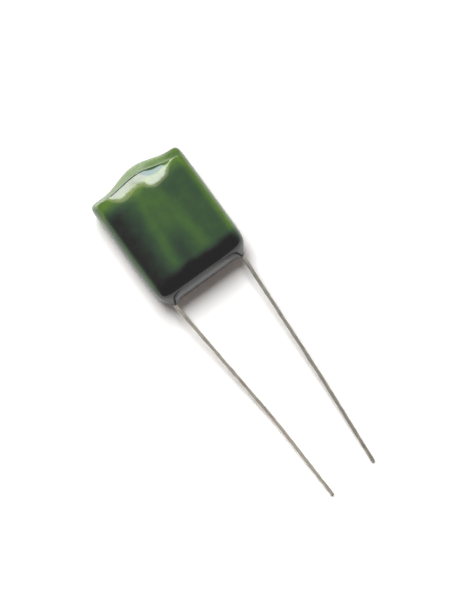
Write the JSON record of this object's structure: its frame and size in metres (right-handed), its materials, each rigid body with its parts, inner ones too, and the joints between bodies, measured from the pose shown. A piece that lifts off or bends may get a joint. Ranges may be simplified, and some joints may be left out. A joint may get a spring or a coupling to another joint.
{
  "type": "film capacitor",
  "caption": "Flat rounded capacitor body dipped in glossy green resin, lying on its back, with a low peak at one end and slightly bent wire leads at the other.",
  "frame": {"origin": "middle of the body's flat back, on the surface that it lies on", "axes": "+Z out of the front face, -Y along the leads, X across the body from the left lead to the right lead"},
  "size_m": [0.013, 0.0461, 0.0064],
  "materials": {
    "epoxy": "dipped green resin, glossy",
    "film": "metallised polyester film",
    "spray": "sprayed zinc alloy, rough",
    "wire": "dull tinned wire"
  },
  "bodies": {
    "root": {"epoxy_coat": "epoxy", "film_winding": "film", "left_end_spray": "spray", "right_end_spray": "spray", "left_lead": "wire", "right_lead": "wire"}
  },
  "joints": []
}
